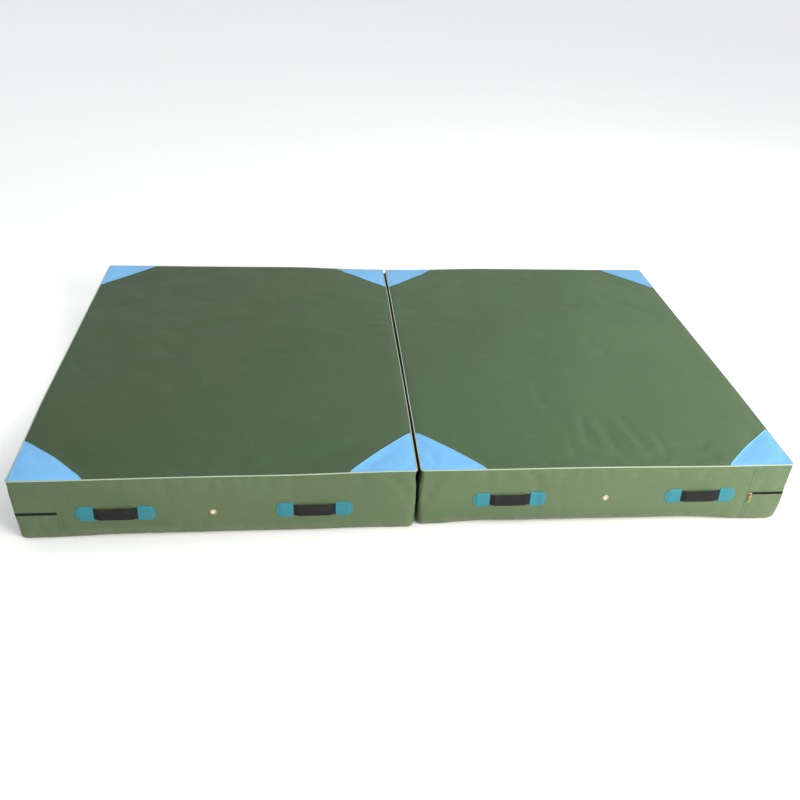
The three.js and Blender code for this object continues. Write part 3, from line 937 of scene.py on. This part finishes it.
def build_base(block, walls, seed):
    """The panel on the floor, inside the walls' rounded foot."""
    foot = walls[-1]
    points = filled(foot, BASE_STEPS).reshape(-1, 3)
    inward = np.minimum.reduce([HALF_Y - np.abs(points[:, 1]), points[:, 0] - NEAR_X, FAR_X - points[:, 0]])
    points[:, 2] += 0.0004 * smooth(0.08, 0.2, inward) * (1 + 0.6 * ripple(points, 3, seed + 41))
    base = make_piece(f"{block}_base_cloth", points, grid_faces(BASE_STEPS[1], BASE_STEPS[0])[:, ::-1])
    thicken(base)
    finish_piece(base, block, "cover_base", "bottom_panel")


# ---------------------------------------------------------------- foam
FOAM_GAP = 0.006  # from the walls to the foam
FOAM_SKIN = 0.0035  # from the landing face, or from the base, to the foam


def capped(loops):
    """A closed solid through loops of equal length, first to last, each end closed flat round its middle."""
    count, size = len(loops), len(loops[0])
    points = np.concatenate([*loops, [loops[0].mean(0)], [loops[-1].mean(0)]])
    faces = grid_faces(count, size, closed_columns=True).tolist()
    last = (count - 1) * size
    for i in range(size):
        j = (i + 1) % size
        faces += [(j, i, count * size), (last + i, last + j, count * size + 1)]
    return points, faces


def build_core(block, form, outs):
    """The lower foam, cut to the cover's shape with its foot rounded off."""
    top_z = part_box(f"{block}_foam_core")[1].z
    loops = []
    for row in form - FOAM_GAP * outs:
        if row[:, 2].mean() <= top_z:
            row[:, 2] += FOAM_SKIN * smooth(0.05, 0.0, row[:, 2])
            loops.append(row)
    rim = loops[0].copy()
    rim[:, 2] = top_z
    core = solid_piece(f"{block}_core_foam", [capped([rim, *loops])])
    finish_piece(core, block, "core_foam", "foam_core")


def drawn_in(points, inset):
    """The points, scaled in plan about the block's middle so that its edges come in by inset."""
    centre = np.array(((NEAR_X + FAR_X) / 2, 0, 0))
    reach = np.array((FAR_X - centre[0], HALF_Y, 1))
    return centre + (points - centre) * (1 - np.array((inset, inset, 0)) / reach)


def build_top_foam(block, grid):
    """The firmer layer under the landing face, which follows it."""
    low_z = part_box(f"{block}_foam_top_layer")[0].z
    rows, columns, _ = grid.shape
    upper = drawn_in(grid.reshape(-1, 3), FOAM_GAP) - (0, 0, FOAM_SKIN)
    lower = upper * (1, 1, 0) + (0, 0, low_z)
    faces = grid_faces(rows, columns)
    index = np.arange(rows * columns).reshape(rows, columns)
    rim = [*index[0, :-1], *index[:-1, -1], *index[-1, :0:-1], *index[:0:-1, 0]]
    count = rows * columns
    sides = [(a, a + count, b + count, b) for a, b in zip(rim, rim[1:] + rim[:1])]
    solid = [*faces.tolist(), *(faces[:, ::-1] + count).tolist(), *sides]
    foam = solid_piece(f"{block}_top_foam", [(np.concatenate([upper, lower]), solid)])
    finish_piece(foam, block, "top_foam", "foam_top_layer")


# ---------------------------------------------------------------- seams
PIPING_SEAM_DROP = 0.0075  # from the piping's middle down to its row of stitches
PANEL_SEAM_INSET = 0.0075  # from the piping's middle in to the landing face's row of stitches
ZIP_SEAM_OFFSET = 0.0035  # from a wall's edge at the zip to its row of stitches
TAPE_SEAM_OFFSET = 0.0036  # from an upright seam to the rows of stitches on both sides of it
SEAM_TAPE = 0.010  # width of the lap over an upright seam
PIPING_SIDES = 14


def build_piping(block, walls, outs):
    rings = sweep(walls[0], outs[0], 1, PIPING_RADIUS, PIPING_SIDES)
    piping = grid_piece(f"{block}_piping", rings, closed_columns=True, closed_rows=True)
    finish_piece(piping, block, "piping", "edge_piping")


def seam_column(walls, column, rows=slice(0, None)):
    return walls[rows, column % COLUMNS]


def build_seam_tapes(block, walls, tree):
    """The lapped edges of the upright seams where the side band meets the end walls."""
    for column, end in zip(SEAM_COLUMNS, ("near_zip_start", "near_zip_stop")):
        line = seam_column(walls, column, slice(0, ROWS - 3))
        side = np.sign(line[0, 1])
        heights = np.append(line[0, 2] - 0.8 * PIPING_RADIUS, line[1:, 2])
        across = np.linspace(-SEAM_TAPE / 2, SEAM_TAPE / 2, 5)
        lift = 0.0006 * (1 - (2 * across / SEAM_TAPE) ** 4) - 0.0003
        u, w = np.meshgrid(across, heights[::-1])
        rise = np.tile(lift, (len(heights), 1))
        tape = grid_piece(f"{block}_seam_tape_{end}", wall_points(tree, side, (SEAM_X, 0), u, w, rise))
        refine(tape)
        thicken(tape, 0.0006, 0)
        finish_piece(tape, block, "cover_side")


def build_wall_stitches(block, walls, tree, panel_tree):
    """Rows of stitches under the piping, beside it on the landing face, and along the zip and seams."""
    rows = [(walls[0] - (0, 0, PIPING_SEAM_DROP), True)]
    for row, sign in ((UPPER_END, 1), (LOWER_START, -1)):
        rows.append((walls[row, SEAM_COLUMNS[1]:] + (0, 0, sign * ZIP_SEAM_OFFSET), False))
    for column in SEAM_COLUMNS:
        line = seam_column(walls, column, slice(1, ROWS - 3))
        rows += [(line + (sign * TAPE_SEAM_OFFSET, 0, 0), False) for sign in (-1, 1)]
    thread = stitches(f"{block}_wall_stitching", tree, rows)
    finish_piece(thread, block, "cover_side", surface=GREEN_THREAD)
    inside = drawn_in(walls[0], PANEL_SEAM_INSET)
    thread = stitches(f"{block}_panel_stitching", panel_tree, [(inside, True)])
    finish_piece(thread, block, "cover_top", surface=GREEN_THREAD)


# ---------------------------------------------------------------- zip
TOOTH_PITCH = 0.0030  # between the teeth of one tape
TAPE_REACH = 0.0085  # from the zip's middle to the hidden edge of each tape


def zip_path(walls, outs):
    """The zip's middle line, round the outer end from the seam at +Y to the one at -Y, and outwards."""
    columns = [*range(SEAM_COLUMNS[1], COLUMNS), 0]
    line = (walls[UPPER_END, columns] + walls[LOWER_START, columns]) / 2
    return line, outs[LOWER_START, columns]


TAPE_PROFILE = (  # (from the zip's middle, in from the wall's face)
    (0.0004, 0.0009), (0.0020, 0.0011), (0.0045, 0.0013), (0.0062, 0.0016), (TAPE_REACH, 0.0018),
)


def build_zip_tapes(block, line, out):
    for name, sign in (("upper", 1), ("lower", -1)):
        rows = [line - out * inset + (0, 0, sign * height) for height, inset in TAPE_PROFILE]
        tape = grid_piece(f"{block}_zip_tape_{name}", np.array(rows))
        thicken(tape, 0.0004, 0)
        finish_piece(tape, block, "zip_black", "zipper_chain")


# One tooth: its outline along the zip and up from the middle, at its back and, narrower, at its front.
TOOTH_OUTLINE = ((-0.00105, -0.0011), (0.00105, -0.0011), (0.0008, 0.0034), (-0.0008, 0.0034))
TOOTH_DEPTHS = ((-0.0008, 1.0), (0.0005, 0.8))
TOOTH_BODY = np.array([(a * wide, depth, h) for depth, wide in TOOTH_DEPTHS for a, h in TOOTH_OUTLINE])
TOOTH_FACES = [(0, 1, 2, 3), (7, 6, 5, 4), (0, 4, 5, 1), (1, 5, 6, 2), (2, 6, 7, 3), (3, 7, 4, 0)]


def build_teeth(block, line):
    """Teeth from either tape in turn, each reaching a little past the zip's middle."""
    places, directions = along_path(line, TOOTH_PITCH / 2)
    parts = []
    for number, (place, direction) in enumerate(zip(places, directions)):
        outward = np.array((direction[1], -direction[0], 0.0))
        outward *= np.sign(outward @ (place - (SEAM_X, 0, place[2])) or 1)
        up = np.array((0, 0, 1.0 if number % 2 else -1.0))
        parts.append((place + TOOTH_BODY @ np.array((direction, outward, up)), TOOTH_FACES))
    teeth = solid_piece(f"{block}_zip_teeth", parts)
    bevel(teeth, 0.0002, 1)
    finish_piece(teeth, block, "zip_black", "zipper_chain")


def flat_ring(outer, inner, back, front):
    """A plate between two loops of (x, z) points, from y = back to y = front, which is further out."""
    edges = ((outer, front), (outer, back), (inner, back), (inner, front))
    points = np.array([(x, y, z) for loop, y in edges for x, z in loop])
    return points, grid_faces(4, len(outer), closed_columns=True, closed_rows=True).tolist()


def rounded_loop(half_width, top, bottom, radius):
    """A rounded rectangle from z = bottom to z = top, as (x, z) points, clockwise seen from -Y."""
    steps = 6  # points round each corner
    loop = []
    corners = ((1, top, 90), (1, bottom, 0), (-1, bottom, -90), (-1, top, -180))
    for sign, z, first in corners:
        centre_x = sign * (half_width - radius)
        centre_z = z - radius if z == top else z + radius
        for angle in np.radians(first - 90 * np.arange(steps) / (steps - 1)):
            loop.append((centre_x + radius * math.cos(angle), centre_z + radius * math.sin(angle)))
    return loop


SLIDER_PLATE = 0.0021  # thickness of the slider's plate
BAIL_WIRE, BAIL_RADIUS = 0.00075, 0.0008  # the bail's wire, and its middle from the slider's outer face


def squared_off(wave):
    """A sine or cosine drawn towards 1 and -1, which turns an ellipse into a rounded rectangle."""
    return math.copysign(abs(wave) ** 0.55, wave)


def build_slider(block):
    """A zip slider: a plate that narrows in the middle, with a bail for the pull."""
    low, high = block_box(block, "zipper_slider")
    centre = (low + high) / 2
    plate_front = high.y - SLIDER_PLATE
    half_length, half_height = (high.x - low.x) / 2, (high.z - low.z) / 2
    ring = []
    for angle in np.radians(np.arange(0, 360, 10)):
        x = half_length * squared_off(math.cos(angle))
        waist = 0.78 + 0.22 * (x / half_length) ** 2 if x < 0 else 0.78 + 0.05 * x / half_length
        ring.append((x, half_height * waist * squared_off(math.sin(angle))))
    count = len(ring)
    levels = ((high.y, 0.96), (high.y - 0.0006, 1.0), (plate_front + 0.0004, 1.0), (plate_front, 0.88))
    points = np.array([(centre.x + x * k, y, centre.z + z * k) for y, k in levels for x, z in ring])
    faces = grid_faces(len(levels), count, closed_columns=True).tolist()
    faces += [[*range(count)][::-1], [*range(len(points) - count, len(points))]]
    bar_y = low.y + BAIL_RADIUS
    half_bail = ((0.0050, plate_front + 0.0004), (0.0050, (plate_front + bar_y) / 2), (0.0035, bar_y))
    bail = [(centre.x - x, y, centre.z) for x, y in half_bail]
    bail += [(centre.x + x, y, centre.z) for x, y in half_bail[::-1]]
    slider = solid_piece(f"{block}_zip_slider_body", [(points, faces), wire(bail, BAIL_WIRE)])
    finish_piece(slider, block, "zip_brass", "zipper_slider", body=f"{block}_zip_slider")


def build_pull(block):
    """A ring through the bail and a slotted tab hanging from it."""
    low, high = block_box(block, "zipper_pull")
    x, y = (low.x + high.x) / 2, (low.y + high.y) / 2
    wire_radius, ring_radius = 0.0010, 0.0040
    ring_z = high.z - ring_radius - wire_radius
    angles = 2 * math.pi * np.arange(10) / 10
    knots = [(x, y + ring_radius * math.sin(a), ring_z + ring_radius * math.cos(a)) for a in angles]
    tab_top = ring_z - ring_radius + 0.0012
    half_width, half_thick = (high.x - low.x) / 2, 0.0010
    outer = rounded_loop(half_width, tab_top, low.z, half_width * 0.9)
    inner = rounded_loop(half_width * 0.42, tab_top - 0.007, low.z + 0.0042, half_width * 0.40)
    shift = [[(x + a, b) for a, b in loop] for loop in (outer, inner)]
    tab = flat_ring(*shift, y + half_thick, y - half_thick)
    pull = solid_piece(f"{block}_zip_pull_tab", [tab, wire(knots, wire_radius, closed=True)])
    bevel(pull, 0.0004, 2).angle_limit = math.radians(50)
    finish_piece(pull, block, "zip_brass", "zipper_pull", body=f"{block}_zip_pull")


# ---------------------------------------------------------------- corner patches
PATCH_BOW = 0.010  # how far the long side's control point lies past the middle of its straight line
PATCH_STEPS = (72, 28)  # points along the long side, and from it to the legs
PATCH_TUCK = 0.0022  # from the footprint to the patch's edge, under the piping
PATCH_CLOTH = 0.0008
HEM_RADIUS, HEM_SIDES = 0.0011, 10


def patch_grid(leg, radius):
    """A corner triangle with its corner at (0, 0) and its legs along X and Y: rows from the legs to the
    bowed long side."""
    across, away = PATCH_STEPS
    t = np.linspace(0, 1, across)[:, None]
    control = leg / 2 + PATCH_BOW
    long_side = (1 - t) ** 2 * (0, leg) + 2 * t * (1 - t) * np.array((control, control)) + t ** 2 * (leg, 0)
    angles = np.linspace(math.pi / 2, 0, 9)
    arc = [(radius - radius * math.sin(a), radius - radius * math.cos(a)) for a in angles]
    legs = resampled(np.array([(0, leg), *arc, (leg, 0)]), across)
    share = np.linspace(0, 1, away)[:, None, None]
    return legs + share * (long_side - legs)


def build_corner_patches(block, tree):
    for x_side, place in ((-1, "inner"), (1, "outer")):
        for side in (-1, 1):
            build_corner_patch(block, tree, x_side, side, place)


def build_corner_patch(block, tree, x_side, side, place):
    node = f"corner_patch_{wall_name(block, side)}_{place}"
    low, high = block_box(block, node)
    leg = high.y - low.y + HALF_Y - max(-low.y, high.y) - PATCH_TUCK
    radius = TOP_RADII[0 if x_side < 0 else 1] - PATCH_TUCK
    flat = patch_grid(leg, radius)
    edge_x = (NEAR_X if x_side < 0 else FAR_X) - x_side * PATCH_TUCK
    plan = np.stack([edge_x - x_side * flat[..., 0], side * (HALF_Y - PATCH_TUCK - flat[..., 1])], -1)
    plan = plan.reshape(-1, 2)
    plan[:, 0] += end_skew(plan, block)
    plan[:, 1] += edge_drift(plan, block, SEEDS[block])[:, 1]
    heights = [on_panel(tree, x, y) + 0.0003 for x, y in plan.tolist()]
    points = np.column_stack([plan, heights]).reshape(*flat.shape[:2], 3)
    if x_side * side < 0:
        points = points[:, ::-1]
    patch = grid_piece(f"{block}_{node}_cloth", points)
    thicken(patch, PATCH_CLOTH, 1)
    patch_tree = tree_of(patch)
    hem_line = points[-1] - (points[-1] - points[-2]) * 0.3
    hem_line = hem_line[2:-2] + (0, 0, PATCH_CLOTH)
    sideways = unit((points[-1] - points[-3])[2:-2])
    bead = sweep(hem_line, 2.2 * sideways, 0.7, HEM_RADIUS, HEM_SIDES)
    hem = grid_piece(f"{block}_{node}_hem", bead, closed_columns=True)
    inner_line = points[-1, 3:-3] + unit((points[-3] - points[-1])[3:-3]) * 0.0065
    thread = stitches(f"{block}_{node}_stitching", patch_tree, [(inner_line, False)])
    finish_piece(patch, block, "corner_patch", node)
    finish_piece(hem, block, "corner_patch", surface=HEM_BLUE)
    finish_piece(thread, block, "corner_patch", surface=BLUE_THREAD)


# ---------------------------------------------------------------- handles
STRAP_FREE, STRAP_LEVEL = 0.079, 0.056  # from the handle's middle to its sewn ends and to its level part
STRAP_BOW = 0.008  # how far the level part stands off the wall
STRAP_CLOTH = 0.002
STRAP_STEPS = (13, 89)  # points across and along
PATCH_NEAR = 0.081  # from the handle's middle to each patch's straight edge
TIP_SHARE = 0.38  # the tip's height as a share of the patch's
TIP_LENGTH = 0.016
HOUSE_STEPS = (31, 30)  # points across and along a handle patch


def build_strap(block, tree, side, centre, node, seed):
    low, high = block_box(block, node)
    half_length, half_width = (high.x - low.x) / 2, (high.z - low.z) / 2
    up = np.linspace(-half_width, half_width, STRAP_STEPS[0])
    across = np.linspace(-half_length, half_length, STRAP_STEPS[1])
    u, w = np.meshgrid(across, up)
    share = np.clip((STRAP_FREE - np.abs(u)) / (STRAP_FREE - STRAP_LEVEL), 0, 1)
    rise = 0.0004 + STRAP_BOW * (1 - np.cos(math.pi * share)) / 2
    rise = rise - 0.0008 * (w / half_width) ** 2 * share
    droop = 0.0004 * share * np.cos(math.pi * u / (2 * STRAP_FREE))
    points = wall_points(tree, side, centre, u, w, np.zeros_like(u))
    sewn = np.abs(across) >= STRAP_FREE
    for row in points:
        row[:, 1] = np.interp(across, across[sewn], row[sewn, 1])
    points[..., 1] += side * rise
    points[..., 2] -= droop + 0.0006 * ripple(points.reshape(-1, 3), 20, seed).reshape(STRAP_STEPS) * share
    strap = grid_piece(f"{block}_{node}_webbing", points)
    thicken(strap, STRAP_CLOTH, 1)
    bevel(strap, 0.0006, 2)
    finish_piece(strap, block, "webbing", node)


def handle_patch_grid(length, half_height):
    """A house shape: (across, up) with its straight edge at 0 and its point away from the strap."""
    s = np.linspace(0, 1, HOUSE_STEPS[1])
    reach = length * s
    shoulder = 1 - TIP_LENGTH / length
    lean = np.clip((s - shoulder) / (1 - shoulder), 0, 1)
    half = half_height * (1 - (1 - TIP_SHARE) * lean)
    t = np.linspace(-1, 1, HOUSE_STEPS[0])
    return np.tile(reach, (HOUSE_STEPS[0], 1)), t[:, None] * half


def build_handle_patch(block, tree, side, centre, node, along):
    low, high = block_box(block, node)
    far_end = max(high.x - centre[0], centre[0] - low.x)
    length, half_height = far_end - PATCH_NEAR, (high.z - low.z) / 2
    u, w = handle_patch_grid(length, half_height)
    strap_end = block_box(block, node.rsplit("_patch", 1)[0] + "_strap")[1].x - centre[0] - PATCH_NEAR
    on_strap = smooth(0.0275, 0.0245, np.abs(w)) * smooth(strap_end + 0.006, strap_end + 0.001, u)
    rise = 0.0004 + (STRAP_CLOTH + 0.0003) * on_strap
    across = along * (PATCH_NEAR + u)
    points = wall_points(tree, side, centre, across, w, rise)
    if along < 0:
        points = points[:, ::-1]
    patch = grid_piece(f"{block}_{node}_cloth", points)
    thicken(patch, PATCH_CLOTH, 1)
    surface = tree_of(patch)
    inner = slice(3, -3)
    grid = points[inner, inner]
    border = np.concatenate([grid[0], grid[:, -1], grid[-1, ::-1], grid[::-1, 0]])
    rise_step = np.array((0, side * 0.002, 0))
    crosses = [np.array([grid[0, 0], grid[-1, -5]]), np.array([grid[-1, 0], grid[0, -5]])]
    lines = [(border + rise_step, True), *((line + rise_step, False) for line in crosses)]
    thread = stitches(f"{block}_{node}_stitching", surface, lines, 0.0042, 0.0032, 0.0009)
    finish_piece(patch, block, "handle_patch", node)
    finish_piece(thread, block, "handle_patch", surface=TEAL_THREAD)


def build_handles(block, tree, seed):
    for side in (-1, 1):
        for number, place in enumerate(("inner", "outer")):
            prefix = f"{wall_name(block, side)}_{place}_handle"
            spot = middle(block, f"{prefix}_strap")
            centre = (spot.x, spot.z)
            build_strap(block, tree, side, centre, f"{prefix}_strap", seed + number + side)
            for end, along in (("a", -1), ("b", 1)):
                build_handle_patch(block, tree, side, centre, f"{prefix}_patch_{end}", along)


# ---------------------------------------------------------------- eyelets
# Each is (radius, height off the wall), from the middle outwards.
EYELET_RIM = (
    (0.0062, -0.0012), (0.0062, 0.0008), (0.0066, 0.0014), (0.0074, 0.0018), (0.0086, 0.0017),
    (0.0104, 0.0014), (0.0120, 0.0011), (0.0127, 0.0007), (0.0129, 0.0002), (0.0127, -0.0001),
)
EYELET_FOAM = ((0.0002, 0.0004), (0.0026, 0.0005), (0.0050, 0.0004), (0.0064, 0.0003))
EYELET_SIDES = 48


def turned(profile, side, spot, face):
    """Rings of points round an axis square to a long wall, which passes through spot."""
    angles = 2 * math.pi * np.arange(EYELET_SIDES) / EYELET_SIDES
    return [
        (spot.x + radius * math.cos(a), face + side * height, spot.z + side * radius * math.sin(a))
        for radius, height in profile for a in angles
    ]


def build_eyelets(block, tree):
    """A rolled rim in each long wall, with the foam that shows through it."""
    for side in (-1, 1):
        node = f"{wall_name(block, side)}_eyelet"
        spot = middle(block, node)
        face = on_wall(tree, side, spot.x, spot.z)
        pieces = []
        for part, profile in (("ring", EYELET_RIM), ("foam", EYELET_FOAM)):
            faces = grid_faces(len(profile), EYELET_SIDES, closed_columns=True)
            pieces.append(make_piece(f"{block}_{node}_{part}", turned(profile, side, spot, face), faces))
        finish_piece(pieces[0], block, "eyelet", node)
        finish_piece(pieces[1], block, "core_foam")


# ---------------------------------------------------------------- hinge
HINGE_STEPS = (221, 15)  # points along and across
HINGE_SLACK = 0.0070
HINGE_CLOTH = 0.0012


def build_hinge(inner_edges, seed):
    """The strip that joins the blocks: a slack trough sewn in just under both pipings. inner_edges are
    the two blocks' top seams along the fold, each as points in the mat's place."""
    low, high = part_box("hinge_strip")
    rows, columns = HINGE_STEPS
    y = np.linspace(low.y, high.y, rows)
    drop = sum(np.interp(y, *zip(*sorted((p[1], EDGE_Z - p[2]) for p in edge))) for edge in inner_edges) / 2
    turn = np.linspace(-1, 1, columns)
    x = np.tile(high.x * turn, (rows, 1))
    slack = HINGE_SLACK + 0.0010 * np.sin(9 * y + seed) + 0.004 * smooth(0.93, 1.0, np.abs(y))
    z = (high.z - drop)[:, None] - slack[:, None] * (1 - turn ** 2)
    strip = grid_piece("hinge_cloth", np.stack([x, np.tile(y[:, None], (1, columns)), z], -1))
    thicken(strip, HINGE_CLOTH, 0)
    strip.data.materials.append(MATERIALS["hinge_fabric"])
    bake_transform(strip)
    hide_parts("hinge_strip")


# ---------------------------------------------------------------- the whole mat
SEEDS = {"right": 3, "left": 8}


def build_block(block, seed):
    walls, form, outs, tree = build_walls(block, seed)
    grid, panel_tree = build_panel(block, seed)
    build_base(block, walls, seed)
    build_core(block, form, outs)
    build_top_foam(block, grid)
    build_piping(block, walls, outs)
    build_seam_tapes(block, walls, tree)
    build_wall_stitches(block, walls, tree, panel_tree)
    line, out = zip_path(walls, outs)
    build_zip_tapes(block, line, out)
    build_teeth(block, line)
    build_slider(block)
    build_pull(block)
    build_corner_patches(block, panel_tree)
    build_handles(block, tree, seed)
    build_eyelets(block, tree)
    top = walls[0]
    return top[top[:, 0] < NEAR_X + 0.004] * (BLOCKS[block], BLOCKS[block], 1)


add_stage()
add_camera()
inner_edges = [build_block(block, SEEDS[block]) for block in BLOCKS]
build_hinge(inner_edges, SEEDS["right"])
